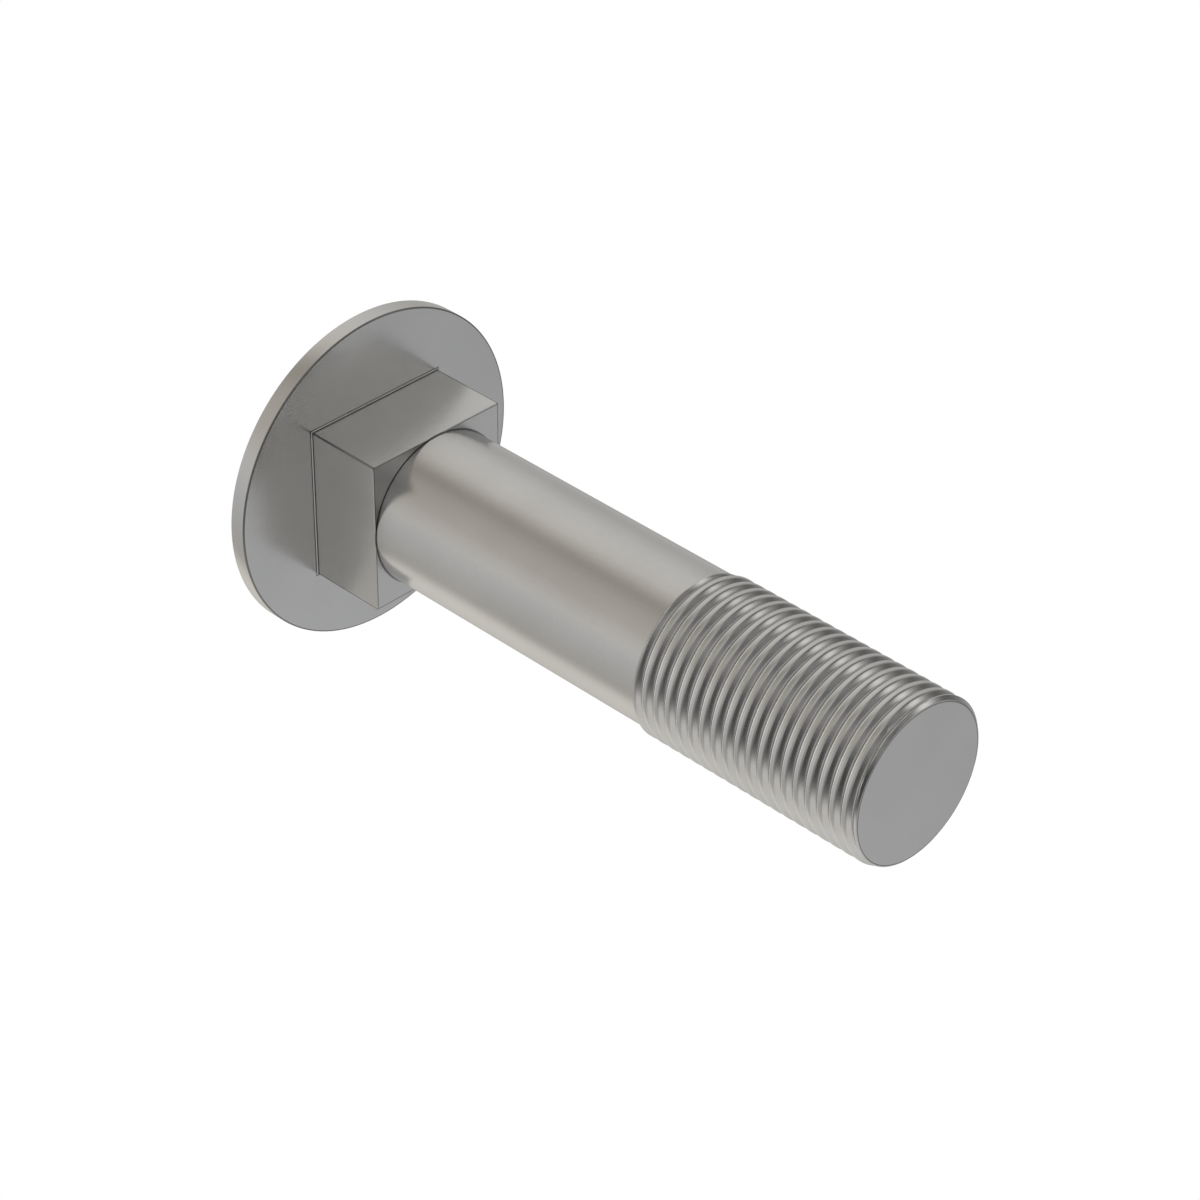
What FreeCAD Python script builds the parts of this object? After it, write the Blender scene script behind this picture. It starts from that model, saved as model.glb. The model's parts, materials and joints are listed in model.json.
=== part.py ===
import FreeCAD, Part
import Sketcher
import math
import os

# Round-head square-neck bolt: one forged piece with a rolled thread.
# It stands on its threaded end, which is centred on the origin, with the head at the top.

vec = FreeCAD.Vector
doc = FreeCAD.newDocument("carriage_bolt")

# Sizes in millimetres
sizes = doc.addObject("Spreadsheet::Sheet", "sizes")
values = [
    ("under_head_length", 49.4, "threaded end to the bearing face of the head"),
    ("shank_diameter", 11.38, "plain shank, which is also the rolling blank"),
    ("thread_diameter", 11.9, "over the crests"),
    ("thread_pitch", 1.0, "one start, right hand"),
    ("thread_crest", 0.25, "flat left on each crest"),
    ("thread_length", 19.1, "threaded end to the step down to the shank"),
    ("thread_lead_in", 0.45, "plain band of the blank at the threaded end"),
    ("thread_fade", 1.1, "length over which the groove rises to the blank"),
    ("head_diameter", 24.3, "rim of the head"),
    ("rim_height", 1.25, "straight band round the head"),
    ("dome_height", 4.0, "crown above the straight band"),
    ("neck_width", 11.55, "square neck, flat to flat"),
    ("neck_depth", 6.1, "square neck, along the bolt"),
    ("neck_fillet", 0.12, "between the neck and the bearing face"),
]
for row, (alias, value, note) in enumerate(values, start=1):
    sizes.set("A%d" % row, alias)
    sizes.set("B%d" % row, str(value))
    sizes.set("C%d" % row, note)
    sizes.setAlias("B%d" % row, alias)
doc.recompute()

body = doc.addObject("PartDesign::Body", "bolt")

# Radii and heights that several sections share
shank_radius = "sizes.shank_diameter / 2"
thread_radius = "sizes.thread_diameter / 2"
head_radius = "sizes.head_diameter / 2"
step = "(sizes.thread_diameter - sizes.shank_diameter) / 2"
bearing_face = "sizes.under_head_length"
rim_top = "sizes.under_head_length + sizes.rim_height"
dome_top = rim_top + " + sizes.dome_height"
crown_radius = "((" + head_radius + ")^2 + sizes.dome_height^2) / (2 * sizes.dome_height)"

# Thread form: 60 degree flanks that meet at the root, and a flat crest
half_groove = "(sizes.thread_pitch - sizes.thread_crest) / 2"
root_radius = thread_radius + " - " + half_groove + " / tan(30)"


def new_sketch(name, role, height=None):
    """An empty sketch on the body's datum plane of that role, raised to a height along the bolt."""
    sketch = body.newObject("Sketcher::SketchObject", name)
    plane = [f for f in body.Origin.OriginFeatures if f.Role == role][0]
    sketch.AttachmentSupport = (plane, [""])
    sketch.MapMode = "FlatFace"
    if height is not None:
        along = {"XY_Plane": "z", "XZ_Plane": "y"}[role]
        sketch.setExpression("AttachmentOffset.Base." + along, height)
    return sketch


def evaluate(sketch, expression):
    """The number that an expression gives with the sheet's present values."""
    return float(sketch.evalExpression(expression))


def outline(sketch, corners, arc_side=None):
    """A closed outline through corners given as (name, x expression, y expression).

    The side that starts at corner arc_side is an arc over the sketch's own centre.
    """
    places = [(evaluate(sketch, x), evaluate(sketch, y)) for _, x, y in corners]
    count = len(corners)
    for i in range(count):
        (x1, y1), (x2, y2) = places[i], places[(i + 1) % count]
        if i == arc_side:
            via = vec(0, math.hypot(x1, y1), 0)
            sketch.addGeometry(Part.Arc(vec(x1, y1, 0), via, vec(x2, y2, 0)), False)
        else:
            sketch.addGeometry(Part.LineSegment(vec(x1, y1, 0), vec(x2, y2, 0)), False)
    for i in range(count):
        sketch.addConstraint(Sketcher.Constraint("Coincident", i, 2, (i + 1) % count, 1))
    for i, (name, x, y) in enumerate(corners):
        tie(sketch, i, name + "_across", "DistanceX", x, places[i][0], -2)
        tie(sketch, i, name + "_along", "DistanceY", y, places[i][1], -1)


def tie(sketch, side, name, kind, expression, value, axis):
    """One coordinate of a side's first point, tied to its expression or held on the axis."""
    if expression == "0":
        sketch.addConstraint(Sketcher.Constraint("PointOnObject", side, 1, axis))
        return
    index = sketch.addConstraint(Sketcher.Constraint(kind, -1, 1, side, 1, value))
    sketch.renameConstraint(index, name)
    sketch.setExpression("Constraints." + name, expression)


def revolve(name, sketch):
    """The section turned once round the bolt's axis and joined to the body."""
    feature = body.newObject("PartDesign::Revolution", name)
    feature.Profile = sketch
    feature.ReferenceAxis = (sketch, ["V_Axis"])
    feature.Angle = 360
    body.Tip = feature
    doc.recompute()
    return feature


def make_shank():
    """Shank with the full-width stretch that carries the thread, a 45 degree step at each end of it."""
    section = new_sketch("shank_section", "XZ_Plane")
    outline(section, [
        ("centre", "0", "0"),
        ("end_rim", shank_radius, "0"),
        ("crest_start", thread_radius, step),
        ("crest_finish", thread_radius, "sizes.thread_length - " + step),
        ("shank_start", shank_radius, "sizes.thread_length"),
        ("shank_finish", shank_radius, bearing_face),
        ("axis_top", "0", bearing_face),
    ])
    return revolve("shank", section)


def make_head():
    """Round head as a flat disc, as thick as the finished head is at its middle."""
    section = new_sketch("head_section", "XZ_Plane")
    outline(section, [
        ("axis_bottom", "0", bearing_face),
        ("rim_bottom", head_radius, bearing_face),
        ("disc_edge", head_radius, dome_top),
        ("axis_top", "0", dome_top),
    ])
    return revolve("head", section)


def round_crown():
    """Ball-shaped crown above the straight rim, by cutting the disc to a sphere centred on the axis."""
    section = new_sketch("crown_section", "XZ_Plane", dome_top + " - " + crown_radius)
    side = "(0.9 * " + head_radius + " + 0.1 * " + crown_radius + ")"
    arc_end = "sqrt((" + crown_radius + ")^2 - " + side + "^2)"
    clear = crown_radius + " + sizes.dome_height"
    outline(section, [
        ("arc_right", side, arc_end),
        ("arc_left", "-" + side, arc_end),
        ("clear_left", "-" + side, clear),
        ("clear_right", side, clear),
    ], arc_side=0)
    crown = body.newObject("PartDesign::Groove", "crown")
    crown.Profile = section
    crown.ReferenceAxis = (section, ["H_Axis"])
    crown.Angle = 170
    crown.Midplane = True
    body.Tip = crown
    doc.recompute()
    return crown


def make_neck():
    """Square neck that keeps the bolt from turning in timber, hung from the bearing face."""
    square = new_sketch("neck_square", "XY_Plane", bearing_face)
    half = "sizes.neck_width / 2"
    outline(square, [
        ("corner_a", "-" + half, "-" + half),
        ("corner_b", half, "-" + half),
        ("corner_c", half, half),
        ("corner_d", "-" + half, half),
    ])
    neck = body.newObject("PartDesign::Pad", "neck")
    neck.Profile = square
    neck.Reversed = True
    neck.setExpression("Length", "sizes.neck_depth")
    body.Tip = neck
    doc.recompute()
    return neck


def round_neck_root(neck):
    """The small forging fillet where the neck's four flats meet the bearing face."""
    top = sizes.under_head_length
    names = []
    for i, edge in enumerate(neck.Shape.Edges, start=1):
        ends = [v.Point for v in edge.Vertexes]
        if len(ends) == 2 and all(abs(p.z - top) < 1e-6 and abs(abs(p.x) - abs(p.y)) < 1e-6 for p in ends):
            names.append("Edge%d" % i)
    fillet = body.newObject("PartDesign::Fillet", "neck_root")
    fillet.Base = (neck, names)
    fillet.setExpression("Radius", "sizes.neck_fillet")
    body.Tip = fillet
    doc.recompute()
    return fillet


def cut_thread():
    """Helical groove from below the threaded end to the step, cut out of the full-width stretch."""
    section = new_sketch("groove_section", "XZ_Plane")
    beyond = "0.04 * sizes.thread_pitch"
    half_mouth = "(" + half_groove + " + " + beyond + " * tan(30))"
    start = "-0.6 * sizes.thread_pitch"
    outline(section, [
        ("root", root_radius, start),
        ("mouth_low", thread_radius + " + " + beyond, start + " - " + half_mouth),
        ("mouth_high", thread_radius + " + " + beyond, start + " + " + half_mouth),
    ])
    groove = body.newObject("PartDesign::SubtractiveHelix", "thread")
    groove.Profile = section
    groove.ReferenceAxis = (section, ["V_Axis"])
    groove.Mode = "pitch-height-angle"
    groove.setExpression("Pitch", "sizes.thread_pitch")
    groove.setExpression("Height", "sizes.thread_length + 0.4 * sizes.thread_pitch")
    groove.LeftHanded = False
    body.Tip = groove
    doc.recompute()
    return groove


def fade_thread():
    """Blank left at both ends of the groove: it comes up out of the root on a cone, as rolling leaves it."""
    section = new_sketch("blank_section", "XZ_Plane")
    core = "(" + root_radius + " - 0.2 * sizes.thread_pitch)"
    outline(section, [
        ("centre", "0", "0"),
        ("end_rim", shank_radius, "0"),
        ("lead_in", shank_radius, "sizes.thread_lead_in"),
        ("core_start", core, "sizes.thread_lead_in + sizes.thread_fade"),
        ("core_finish", core, "sizes.thread_length - sizes.thread_fade"),
        ("run_out", shank_radius, "sizes.thread_length"),
        ("axis_top", "0", "sizes.thread_length"),
    ])
    return revolve("thread_ends", section)


make_shank()
print("shank made")
make_head()
round_crown()
round_neck_root(make_neck())
print("head and square neck made")
cut_thread()
fade_thread()
print("thread made")

doc.recompute()
for item in doc.Objects:
    if "Invalid" in item.State or "Error" in item.State:
        raise RuntimeError(item.Name + " did not build: " + ", ".join(item.State))
if body.Shape.isNull() or not body.Shape.isValid() or len(body.Shape.Solids) != 1:
    raise RuntimeError("the bolt is not one valid solid")

os.makedirs("parts", exist_ok=True)
body.Shape.exportStep("parts/%s.step" % body.Label)
print("volume %.1f mm3, faces %d" % (body.Shape.Volume, len(body.Shape.Faces)))
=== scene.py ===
import bpy
import bmesh
import json
import math
from mathutils import Matrix, Vector

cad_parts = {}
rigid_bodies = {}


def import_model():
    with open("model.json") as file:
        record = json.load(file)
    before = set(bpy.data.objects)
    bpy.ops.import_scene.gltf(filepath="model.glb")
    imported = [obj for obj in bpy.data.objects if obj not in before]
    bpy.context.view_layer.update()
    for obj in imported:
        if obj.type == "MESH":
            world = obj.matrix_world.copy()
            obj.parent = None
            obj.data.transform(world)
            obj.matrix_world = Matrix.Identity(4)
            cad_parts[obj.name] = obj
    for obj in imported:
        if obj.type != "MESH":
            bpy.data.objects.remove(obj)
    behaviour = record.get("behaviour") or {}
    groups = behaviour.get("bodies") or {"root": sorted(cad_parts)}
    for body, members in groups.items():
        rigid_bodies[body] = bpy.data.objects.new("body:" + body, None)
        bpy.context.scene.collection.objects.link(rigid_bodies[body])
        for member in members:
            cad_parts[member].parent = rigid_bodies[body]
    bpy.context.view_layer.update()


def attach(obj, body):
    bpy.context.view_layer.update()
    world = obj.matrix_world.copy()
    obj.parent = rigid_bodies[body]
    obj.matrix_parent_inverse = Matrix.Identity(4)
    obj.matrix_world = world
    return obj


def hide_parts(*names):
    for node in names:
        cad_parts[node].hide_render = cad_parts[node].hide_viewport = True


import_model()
print("solids loaded")

metre = 0.001  # the sizes are in millimetres, and heights run from the threaded end to the head
nearly = 1e-7  # in metres, for telling which points lie on a plane

# Forged end of the bolt: round head and square neck
headSizes = {
    "underHead": 49.4,
    "headRadius": 12.15,
    "rimHeight": 1.25,
    "domeHeight": 4.0,
    "domeSteps": 14,
    "neckWidth": 11.55,
    "neckDepth": 6.1,
    "neckFillet": 0.12,
    "shadeWidth": 0.05,
    "filletShadeTone": (1, 0.9, 0.4, 0, 0.1, 0.7, 1),  # dark of the painted shade across the fillet, darkest at its two edges
    "edgeRound": 0.06,
    "roundSteps": 3,
    "around": 128,
}


def headRings():
    # from the neck's end up to the crown: half width or radius, height, whether square, dark of the painted
    # shade
    s = headSizes
    half = s["neckWidth"] / 2
    bearing = s["underHead"]
    rings = [(half, bearing - s["neckDepth"], True, 0),
             (half, bearing - s["neckFillet"] - s["shadeWidth"], True, 0)]
    for i, dark in enumerate(s["filletShadeTone"]):  # fillet from the neck's flats out to the bearing face
        turn = math.pi / 2 * i / (len(s["filletShadeTone"]) - 1)
        rings.append((half + s["neckFillet"] * (1 - math.cos(turn)),
                      bearing - s["neckFillet"] * (1 - math.sin(turn)), True, dark))
    rings.append((half + s["neckFillet"] + s["shadeWidth"], bearing, True, 0))
    for i in range(s["roundSteps"] + 1):  # small round on the rim's lower edge
        turn = math.pi / 2 * i / s["roundSteps"]
        rings.append((s["headRadius"] - s["edgeRound"] * (1 - math.sin(turn)),
                      bearing + s["edgeRound"] * (1 - math.cos(turn)), False, 0))
    crownTop = bearing + s["rimHeight"] + s["domeHeight"]
    ballRadius = (s["headRadius"] ** 2 + s["domeHeight"] ** 2) / (2 * s["domeHeight"])
    edgeAngle = math.asin(s["headRadius"] / ballRadius)
    for i in range(s["domeSteps"]):  # the crown, down to a small ring that the cap closes
        lean = edgeAngle * (1 - i / s["domeSteps"])
        rings.append((ballRadius * math.sin(lean), crownTop - ballRadius * (1 - math.cos(lean)), False, 0))
    return rings


def forgeHead(bm):
    s = headSizes
    half = s["neckWidth"] / 2 * metre
    neckEnd = (s["underHead"] - s["neckDepth"]) * metre
    flatEnd = (s["underHead"] - s["neckFillet"] - s["shadeWidth"] / 2) * metre
    # painted shade: each point keeps how dark the fillet's crease is painted there
    filletShade = bm.verts.layers.float.new("filletShade")
    points = bmesh.ops.create_circle(bm, segments=s["around"], radius=metre)["verts"]
    for i, (size, height, square, dark) in enumerate(headRings()):
        if i:  # each ring of edges is drawn out of the last one, then set to its place
            rim = [e for e in bm.edges if all(v in points for v in e.verts)]
            drawn = bmesh.ops.extrude_edge_only(bm, edges=rim)["geom"]
            points = [v for v in drawn if isinstance(v, bmesh.types.BMVert)]
        for v in points:
            way = Vector((v.co.x, v.co.y)).normalized()
            reach = size * metre / (max(abs(way.x), abs(way.y)) if square else 1)
            v.co = Vector((way.x * reach, way.y * reach, height * metre))
            v[filletShade] = dark
    bmesh.ops.holes_fill(bm, edges=[e for e in bm.edges if e.is_boundary], sides=0)
    top = max(bm.faces, key=lambda f: f.calc_center_median().z)
    middle = bmesh.ops.poke(bm, faces=[top])["verts"][0]
    middle.co.z = (s["underHead"] + s["rimHeight"] + s["domeHeight"]) * metre
    # the neck's four long edges and its lower outline get a small round
    corners = [e for e in bm.edges
               if all(abs(abs(v.co.x) - half) < nearly and abs(abs(v.co.y) - half) < nearly
                      and v.co.z < flatEnd for v in e.verts)]
    outline = [e for e in bm.edges
               if all(abs(v.co.z - neckEnd) < nearly for v in e.verts) and len(e.link_faces) == 2]
    bmesh.ops.bevel(bm, geom=[e for e in bm.edges if e in corners or e in outline],
                    offset=s["edgeRound"] * metre, offset_type="OFFSET", segments=s["roundSteps"],
                    profile=0.5, affect="EDGES", material=-1)


# Rod of the bolt: plain shank and rolled thread, one start and right hand
rodSizes = {
    "shankRadius": 5.69,
    "crestRadius": 5.95,
    "pitch": 1.0,
    "flankAngle": 45,
    "crestFlat": 0.11,
    "crestRound": 0.274,
    "rootRound": 0.056,
    "threadLength": 19.1,
    "leadIn": 0.45,
    "fade": 1.1,
    "coneStart": 0.2,  # how far under the groove's root the fading cone starts
    "endRound": 0.05,
    "crestStart": -0.1,  # height of a crest's middle on the +X side
    "intoNeck": 44.4,
    "rows": (0.055, 0.09, 0.13, 0.17, 0.21, 0.249, 0.35, 0.46, 0.475, 0.488),  # from a crest to a root
    "weld": 0.002,
    "around": 128,
}


def threadRadius(turns, height):
    # radius of the rod at a height and an angle, the angle in turns
    s = rodSizes
    height = min(max(height, 0), s["threadLength"])
    phase = (height - s["crestStart"]) / s["pitch"] - turns
    away = abs(phase - round(phase)) * s["pitch"]  # distance from the nearest crest's middle
    tilt = math.radians(s["flankAngle"])
    crest, root = s["crestRound"], s["rootRound"]
    flankStart = s["crestFlat"] / 2 + crest * math.sin(tilt)
    flankEnd = s["pitch"] / 2 - root * math.sin(tilt)
    shoulder = crest * (1 - math.cos(tilt))
    depth = shoulder + math.tan(tilt) * (flankEnd - flankStart) + root * (1 - math.cos(tilt))
    if away < flankStart:  # flat crest with rounded shoulders
        groove = s["crestRadius"] - crest + math.sqrt(crest ** 2 - max(away - s["crestFlat"] / 2, 0) ** 2)
    elif away < flankEnd:
        groove = s["crestRadius"] - shoulder - math.tan(tilt) * (away - flankStart)
    else:  # round root
        groove = s["crestRadius"] - depth + root - math.sqrt(root ** 2 - (s["pitch"] / 2 - away) ** 2)
    # the crests step down at both ends of the thread
    fromEnd = min(height, s["threadLength"] - height)
    groove = min(groove, s["shankRadius"] + max(fromEnd, 0))
    # the grooves fade out into the blank at both ends
    blank = s["crestRadius"] - depth - s["coneStart"]
    start = s["leadIn"] if height < s["threadLength"] / 2 else 0
    faded = min(max((fromEnd - start) / s["fade"], 0), 1)
    radius = max(groove, s["shankRadius"] + (blank - s["shankRadius"]) * faded)
    if height < s["endRound"]:  # small round at the end face
        radius -= s["endRound"] - math.sqrt(s["endRound"] ** 2 - (s["endRound"] - height) ** 2)
    return radius


def rollRod(bm):
    s = rodSizes
    pitch, around = s["pitch"], s["around"]
    pitches = range(-1, int(s["threadLength"] / pitch) + 3)
    rows = [0, 0.5] + [side * row for row in s["rows"] for side in (1, -1)]
    heights = sorted(s["crestStart"] + (n + row) * pitch for n in pitches for row in rows)
    line = [bm.verts.new((s["crestRadius"] * metre, 0, h * metre)) for h in heights]
    edges = [bm.edges.new(pair) for pair in zip(line, line[1:])]
    bmesh.ops.spin(bm, geom=line + edges, cent=(0, 0, 0), axis=(0, 0, 1), angle=math.tau, steps=around,
                   dvec=(0, 0, pitch / around * metre))
    bmesh.ops.remove_doubles(bm, verts=bm.verts[:], dist=s["weld"] * metre)
    step = s["crestRadius"] - s["shankRadius"]
    top = s["threadLength"]
    # a ring of edges lies wherever the outline turns, and what is past either end is cut off
    for height in (0.0, 0.3 * s["endRound"], s["endRound"], step, s["leadIn"], s["leadIn"] + s["fade"],
                   top - s["fade"], top - step, top):
        bmesh.ops.bisect_plane(bm, geom=bm.verts[:] + bm.edges[:] + bm.faces[:], dist=nearly,
                               plane_co=(0, 0, height * metre), plane_no=(0, 0, 1),
                               clear_inner=height == 0.0, clear_outer=height == top)
    bmesh.ops.remove_doubles(bm, verts=bm.verts[:], dist=s["weld"] * metre)
    for v in bm.verts:
        angle = math.atan2(v.co.y, v.co.x)
        radius = threadRadius(angle / math.tau, v.co.z / metre) * metre
        v.co = Vector((radius * math.cos(angle), radius * math.sin(angle), v.co.z))
    # the plain shank is drawn up from the thread's last ring into the neck
    rim = [e for e in bm.edges if e.is_boundary and min(v.co.z for v in e.verts) > top * metre / 2]
    drawn = bmesh.ops.extrude_edge_only(bm, edges=rim)["geom"]
    for v in drawn:
        if isinstance(v, bmesh.types.BMVert):
            v.co.z = s["intoNeck"] * metre
    bmesh.ops.holes_fill(bm, edges=[e for e in bm.edges if e.is_boundary], sides=0)


shading = {
    "flatFrom": 0.99999,  # share of a normal along one axis
    "sharpFrom": 32,  # degrees between two faces
}


def shadeEdges(bm):
    # flat faces keep their own normal, round ones are smooth up to their sharp edges
    bmesh.ops.recalc_face_normals(bm, faces=bm.faces[:])
    bm.normal_update()
    for f in bm.faces:
        f.smooth = max(abs(c) for c in f.normal) < shading["flatFrom"]
    for e in bm.edges:
        e.smooth = len(e.link_faces) == 2 and e.calc_face_angle() < math.radians(shading["sharpFrom"])


def makeBolt():
    mesh = bpy.data.meshes.new("boltSteel")
    for shape in (forgeHead, rollRod):
        bm = bmesh.new()
        shape(bm)
        shadeEdges(bm)
        if len(mesh.vertices):
            bm.from_mesh(mesh)
        bm.to_mesh(mesh)
        bm.free()
    bolt = bpy.data.objects.new("boltSteel", mesh)
    bpy.context.scene.collection.objects.link(bolt)
    return bolt


class Wire:
    # a socket that can be added, multiplied and so on, so that shader maths reads as plain sums
    def __init__(self, bench, socket):
        self.bench = bench
        self.socket = socket

    def __add__(self, other):
        return self.bench.maths("ADD", self, other)

    def __radd__(self, other):
        return self.bench.maths("ADD", other, self)

    def __sub__(self, other):
        return self.bench.maths("SUBTRACT", self, other)

    def __rsub__(self, other):
        return self.bench.maths("SUBTRACT", other, self)

    def __mul__(self, other):
        return self.bench.maths("MULTIPLY", self, other)

    def __truediv__(self, other):
        return self.bench.maths("DIVIDE", self, other)


class Bench:
    # adds nodes to one node tree
    def __init__(self, owner):
        owner.use_nodes = True
        self.tree = owner.node_tree
        self.tree.nodes.clear()

    def node(self, kind, settings=None, inputs=None, out=0):
        made = self.tree.nodes.new(kind)
        for name, value in (settings or {}).items():
            setattr(made, name, value)
        for name, value in (inputs or {}).items():
            if isinstance(value, Wire):
                self.tree.links.new(value.socket, made.inputs[name])
            else:
                made.inputs[name].default_value = value
        return Wire(self, made.outputs[out]) if made.outputs else made

    def maths(self, operation, *values):
        return self.node("ShaderNodeMath", {"operation": operation}, dict(enumerate(values)))

    def greatest(self, first, *others):
        for other in others:
            first = self.maths("MAXIMUM", first, other)
        return first

    def split(self, vector):
        return [self.node("ShaderNodeSeparateXYZ", None, {0: vector}, out=i) for i in range(3)]

    def ramp(self, value, stops):
        made = self.tree.nodes.new("ShaderNodeValToRGB")
        elements = made.color_ramp.elements
        while len(elements) < len(stops):
            elements.new(0.5)
        for element, (place, colour) in zip(elements, stops):
            element.position = place
            element.color = (*colour, 1)
        self.tree.links.new(value.socket, made.inputs[0])
        return Wire(self, made.outputs[0])

    def mixColour(self, mask, first, second):
        return self.node("ShaderNodeMix", {"data_type": "RGBA"}, {0: mask, 6: first, 7: second}, out=2)

    def ease(self, value, low, high):
        return self.node("ShaderNodeMapRange", {"interpolation_type": "SMOOTHSTEP"},
                         {"Value": value, "From Min": low, "From Max": high})


# Satin steel, in linear colour
steelLook = {
    "lightSteel": (0.555, 0.555, 0.55, 1),
    "darkSteel": (0.525, 0.525, 0.52, 1),
    "toneRange": (0.35, 0.65),
    "cloudScale": 160.0,
    "cloudShare": 0.7,
    "grainScale": 5200.0,
    "grainHeight": 0.0000004,
    "roughness": 0.25,
    "roughRange": 0.04,
    # colour of the painted shade in the fillet's crease and along the edges
    "paintedShadeColour": (0.07, 0.068, 0.065, 1),
    "edgeDark": 0.7,
    "edgeLine": 0.05,
    "rootLine": 0.09,
    "skin": 0.004,  # a flat face and hardly any of its sides
    "margin": 0.1,  # clear of a face, so that all of it counts
}


def paintedEdgeShade(bench, place):
    # painted shade: thin dark lines along the neck's edges and foot, the rim's lower edge and the end face's
    # edge
    look = steelLook
    x, y, z = [part / metre for part in bench.split(place)]
    x, y = bench.maths("ABSOLUTE", x), bench.maths("ABSOLUTE", y)
    narrow, wide = bench.maths("MINIMUM", x, y), bench.maths("MAXIMUM", x, y)
    reach = bench.maths("POWER", x * x + y * y, 0.5)
    half, neckEnd = headSizes["neckWidth"] / 2, headSizes["underHead"] - headSizes["neckDepth"]
    bearing, width = headSizes["underHead"], headSizes["edgeRound"] + look["edgeLine"]
    filletEnd = bearing - headSizes["neckFillet"] - headSizes["shadeWidth"]
    endFace = rodSizes["shankRadius"] - rodSizes["endRound"]

    def past(value, limit):
        return bench.maths("GREATER_THAN", value, limit)

    onNeck = past(z, neckEnd - look["margin"]) * past(filletEnd, z)
    upright = past(narrow, half - width) * onNeck
    outline = past(wide, half - width) * past(neckEnd + look["skin"], z) * onNeck
    rim = (past(reach, headSizes["headRadius"] - width)
           * past(bearing + width, z) * past(z, bearing - look["margin"]))
    end = past(reach, endFace - look["edgeLine"]) * past(look["skin"], z)
    foot = (past(rodSizes["shankRadius"] + look["rootLine"], reach)
            * past(z, neckEnd - look["edgeLine"]) * past(neckEnd + look["edgeLine"], z))
    return bench.greatest(upright, outline, rim, end, foot)


def makeSteel():
    look = steelLook
    steel = bpy.data.materials.new("satinSteel")
    bench = Bench(steel)
    place = bench.node("ShaderNodeTexCoord", out="Object")
    clouds = bench.node("ShaderNodeTexNoise", {"noise_dimensions": "3D"},
                        {"Vector": place, "Scale": look["cloudScale"], "Detail": 4.0})
    grain = bench.node("ShaderNodeTexNoise", {"noise_dimensions": "3D"},
                       {"Vector": place, "Scale": look["grainScale"], "Detail": 2.0})
    tone = clouds * look["cloudShare"] + grain * (1 - look["cloudShare"])
    colour = bench.mixColour(bench.ease(tone, *look["toneRange"]), look["darkSteel"], look["lightSteel"])
    # painted shade in the crease of the neck's fillet
    filletShade = bench.node("ShaderNodeAttribute", {"attribute_name": "filletShade"}, out="Fac")
    colour = bench.mixColour(filletShade, colour, look["paintedShadeColour"])
    # painted shade as thin dark lines along the edges and where the shank meets the neck
    colour = bench.mixColour(paintedEdgeShade(bench, place) * look["edgeDark"], colour, look["paintedShadeColour"])
    rough = look["roughness"] + (clouds - 0.5) * look["roughRange"] + (grain - 0.5) * look["roughRange"]
    bump = bench.node("ShaderNodeBump", None,
                      {"Height": grain, "Distance": look["grainHeight"], "Strength": 1.0})
    shader = bench.node("ShaderNodeBsdfPrincipled", None,
                        {"Base Color": colour, "Metallic": 1.0, "Roughness": rough, "Normal": bump})
    bench.node("ShaderNodeOutputMaterial", None, {"Surface": shader})
    return steel


bolt = makeBolt()
steel = makeSteel()
bolt.data.materials.append(steel)
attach(bolt, "root")
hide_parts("bolt")
for node in bpy.data.objects:  # the solid under the bolt wears the same steel
    if node.type == "MESH" and node is not bolt:
        for spot in node.material_slots:
            spot.material = steel
print("bolt made:", len(bolt.data.vertices), "points,", len(bolt.data.polygons), "faces")

# Room: studio surroundings, a pale floor seen from above and one soft lamp, in metres
roomSizes = {
    "floorHeight": -0.0001,
    "floorRadius": 1.5,
    "floorColour": (0.86, 0.86, 0.86, 1),
    "lampPower": 0.8,
    "lampWidth": 0.66,
    "lampPlace": (0.05, -0.08, 0.7),
    "ceiling": 0.9,
    "greenLoss": 0.4,  # share of a panel's warmth that is taken out of its green
    "fromFloor": (-0.75, -0.65),  # heights on a ball of directions over which one level blends into the next
    "fromLow": (-0.52, -0.38),
    "fromHorizon": (-0.3, 0.42),
    "fromWalls": (0.8, 0.97),
    "strength": 2.0,  # the levels are divided by it, because a ramp's colours end at 1
}

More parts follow.
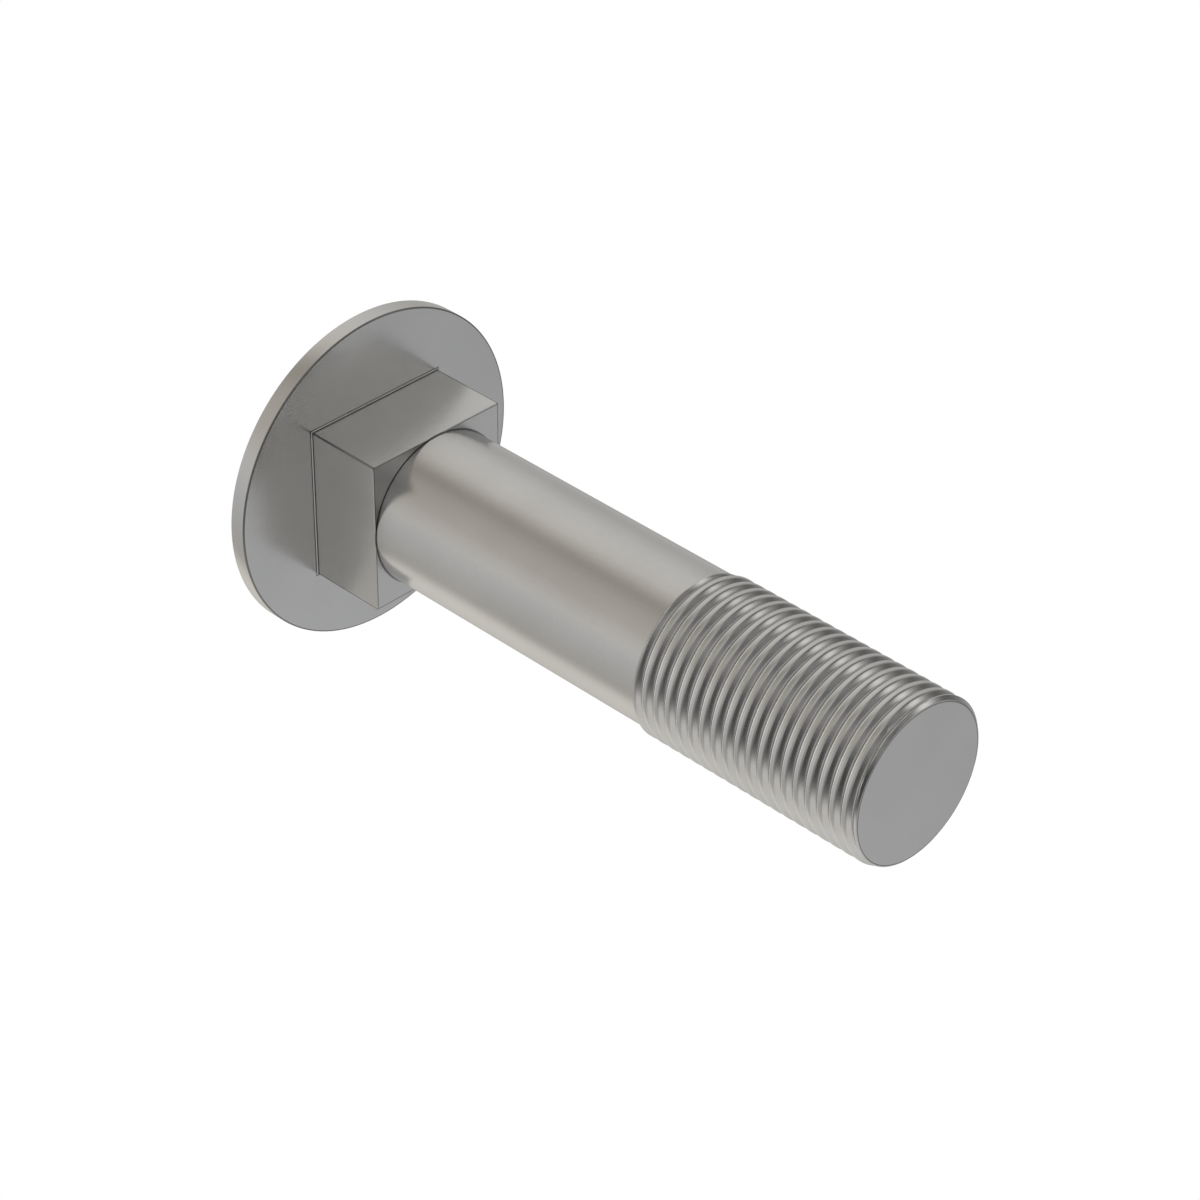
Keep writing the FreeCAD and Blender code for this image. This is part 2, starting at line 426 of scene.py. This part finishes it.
# The studio's panels and gaps at four heights: compass angle in degrees from +X towards +Y,
# brightness there, and warmth, which takes some blue and a little green out of the light
panels = {
    "walls": (
        (-180, 0.55, 0.05), (-165, 0.60, 0.03), (-145, 0.44, 0.05), (-127, 0.53, 0.08),
        (-103, 0.79, 0.10), (-79, 0.97, 0.11), (-67, 0.92, 0.11), (-57, 0.55, 0.13),
        (-43, 0.60, 0.08), (-9, 0.71, 0.01), (9, 0.83, 0.06), (33, 0.68, 0.16),
        (63, 0.56, 0.16), (76, 0.40, 0.20), (99, 0.83, 0.11), (117, 0.87, 0.07),
        (141, 0.82, 0.04), (165, 0.64, 0.08), (180, 0.55, 0.05),
    ),
    "horizon": (
        (-180, 0.20, 0.04), (-130, 0.52, 0.04), (-100, 0.75, 0.04), (-80, 0.92, 0.04),
        (-60, 0.86, 0.04), (-42, 0.56, 0.04), (-22, 0.28, 0.04), (0, 0.34, 0.04),
        (20, 0.55, 0.04), (40, 0.40, 0.04), (60, 0.60, 0.04), (80, 0.57, 0.04),
        (100, 0.34, 0.04), (122, 0.14, 0.04), (145, 0.14, 0.04), (157, 0.36, 0.04),
        (170, 0.09, 0.04), (180, 0.20, 0.04),
    ),
    "low": (
        (-180, 0.59, -0.03), (-150, 0.40, -0.03), (-120, 0.85, -0.03), (-90, 0.73, 0.045),
        (-60, 0.84, 0.045), (-50, 0.98, 0.045), (-43, 1.00, 0.045), (-36, 0.36, 0.045),
        (-22, 0.13, 0.045), (0, 0.42, 0.045), (20, 0.70, 0.045), (40, 0.47, 0.045),
        (60, 0.68, 0.045), (80, 0.80, 0.045), (98, 0.28, 0.045), (114, 0.36, 0.045),
        (130, 0.08, 0.045), (137, 1.45, 0.045), (149, 1.50, 0.045), (157, 0.65, 0.045),
        (168, 0.20, 0.045), (180, 0.59, -0.03),
    ),
    "floor": (
        (-180, 0.52, 0.04), (-60, 0.44, 0.04), (-40, 0.18, 0.04), (-22, 0.04, 0.04),
        (10, 0.05, 0.04), (30, 0.12, 0.04), (60, 0.40, 0.04), (80, 0.27, 0.04),
        (98, 0.07, 0.04), (111, 0.36, 0.04), (125, 0.28, 0.04), (150, 0.44, 0.04),
        (180, 0.52, 0.04),
    ),
}


def panelColour(level, warmth):
    dimmed = level / roomSizes["strength"]
    return [dimmed, dimmed * (1 - roomSizes["greenLoss"] * warmth), dimmed * (1 - warmth)]


def makeSurroundings():
    room = roomSizes
    world = bpy.data.worlds.new("softStudio")
    bpy.context.scene.world = world
    bench = Bench(world)
    x, y, z = bench.split(bench.node("ShaderNodeTexCoord", out="Generated"))
    compass = bench.maths("ARCTAN2", y, x) / math.tau + 0.5
    walls, horizon, low, floor = [
        bench.ramp(compass, [(angle / 360 + 0.5, panelColour(level, warmth))
                             for angle, level, warmth in panels[height]])
        for height in ("walls", "horizon", "low", "floor")]
    ceiling = (*panelColour(room["ceiling"], 0), 1)
    below = bench.mixColour(bench.ease(z, *room["fromFloor"]), floor, low)
    middle = bench.mixColour(bench.ease(z, *room["fromLow"]), below, horizon)
    above = bench.mixColour(bench.ease(z, *room["fromWalls"]), walls, ceiling)
    soft = bench.mixColour(bench.ease(z, *room["fromHorizon"]), middle, above)
    # the camera sees plain white behind the bolt
    isCamera = bench.node("ShaderNodeLightPath", out="Is Camera Ray")
    seen = bench.mixColour(isCamera, soft, (*panelColour(1, 0), 1))
    light = bench.node("ShaderNodeBackground", None, {"Color": seen, "Strength": room["strength"]})
    bench.node("ShaderNodeOutputWorld", None, {"Surface": light})


def makeFloor():
    mesh = bpy.data.meshes.new("floor")
    bm = bmesh.new()
    bmesh.ops.create_circle(bm, cap_ends=True, segments=64, radius=roomSizes["floorRadius"],
                            matrix=Matrix.Translation((0, 0, roomSizes["floorHeight"])))
    bm.to_mesh(mesh)
    bm.free()
    floor = bpy.data.objects.new("floor", mesh)
    bpy.context.scene.collection.objects.link(floor)
    paint = bpy.data.materials.new("paleFloor")
    bench = Bench(paint)
    shader = bench.node("ShaderNodeBsdfDiffuse", None, {"Color": roomSizes["floorColour"]})
    clear = bench.node("ShaderNodeBsdfTransparent")
    # it shows only to the camera, and only from above
    fromBelow = bench.node("ShaderNodeNewGeometry", out="Backfacing")
    seen = bench.node("ShaderNodeLightPath", out="Is Camera Ray") * (1 - fromBelow)
    bench.node("ShaderNodeOutputMaterial", None,
               {"Surface": bench.node("ShaderNodeMixShader", None, {0: seen, 1: clear, 2: shader})})
    mesh.materials.append(paint)


def makeLamp():
    lamp = bpy.data.lights.new("softLamp", "AREA")
    lamp.energy = roomSizes["lampPower"]
    lamp.shape = "DISK"
    lamp.size = roomSizes["lampWidth"]
    holder = bpy.data.objects.new("softLamp", lamp)
    place = Vector(roomSizes["lampPlace"])
    holder.matrix_world = Matrix.Translation(place) @ place.to_track_quat("Z", "Y").to_matrix().to_4x4()
    bpy.context.scene.collection.objects.link(holder)


# The camera looks up at the bolt's axis from beside and below the threaded end, and is rolled over
# so that the bolt lies across the picture: millimetres and degrees
cameraSizes = {
    "lens": 117.42,
    "sensor": 36,
    "aimHeight": 27.74,
    "distance": 257.5,
    "compass": 44.79,
    "below": 35.085,
    "roll": -59.985,
    "clipStart": 10,
}


def makeCamera():
    s = cameraSizes
    view = bpy.data.cameras.new("camera")
    view.lens = s["lens"]
    view.sensor_width = s["sensor"]
    view.clip_start = s["clipStart"] * metre
    camera = bpy.data.objects.new("camera", view)
    compass, below, roll = [math.radians(s[name]) for name in ("compass", "below", "roll")]
    across = math.cos(below)
    back = Vector((across * math.cos(compass), across * math.sin(compass), -math.sin(below)))
    place = Vector((0, 0, s["aimHeight"] * metre)) + back * s["distance"] * metre
    turn = back.to_track_quat("Z", "Y").to_matrix().to_4x4() @ Matrix.Rotation(roll, 4, "Z")
    camera.matrix_world = Matrix.Translation(place) @ turn
    bpy.context.scene.collection.objects.link(camera)
    bpy.context.scene.camera = camera


makeSurroundings()
makeFloor()
makeLamp()
makeCamera()
bpy.context.scene.view_settings.view_transform = "Standard"
print("room, lamp and camera made")

bpy.context.view_layer.update()
